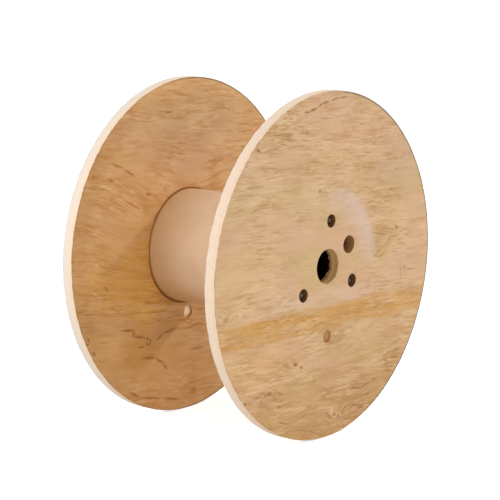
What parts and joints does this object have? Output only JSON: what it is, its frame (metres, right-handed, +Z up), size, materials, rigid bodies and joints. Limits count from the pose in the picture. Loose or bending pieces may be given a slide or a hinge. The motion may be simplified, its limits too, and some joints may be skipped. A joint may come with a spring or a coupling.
{
  "type": "wooden cable drum",
  "caption": "Plywood cable drum: two round flanges clamped on a cardboard barrel tube by recessed tie bolts, with arbor, drive and start holes.",
  "frame": {"origin": "on the floor under the middle of the drum, so that both flange rims touch z = 0", "axes": "+X along the drum's axis, towards the flange with the nuts; +Z up; the start holes are straight below the axis"},
  "size_m": [0.28, 0.4999, 0.5],
  "materials": {
    "plywood": "unfinished sanded veneer with bare board edges",
    "kraft_board": "smooth matt kraft board",
    "bright_steel": "zinc-plated, dull"
  },
  "bodies": {
    "root": {"flange_right": "plywood", "flange_left": "plywood", "barrel_tube": "kraft_board", "tie_bolt_1": "bright_steel", "tie_bolt_2": "bright_steel", "tie_bolt_3": "bright_steel", "nut_1": "bright_steel", "nut_2": "bright_steel", "nut_3": "bright_steel", "head_washer_1": "bright_steel", "head_washer_2": "bright_steel", "head_washer_3": "bright_steel", "nut_washer_1": "bright_steel", "nut_washer_2": "bright_steel", "nut_washer_3": "bright_steel"}
  },
  "joints": []
}
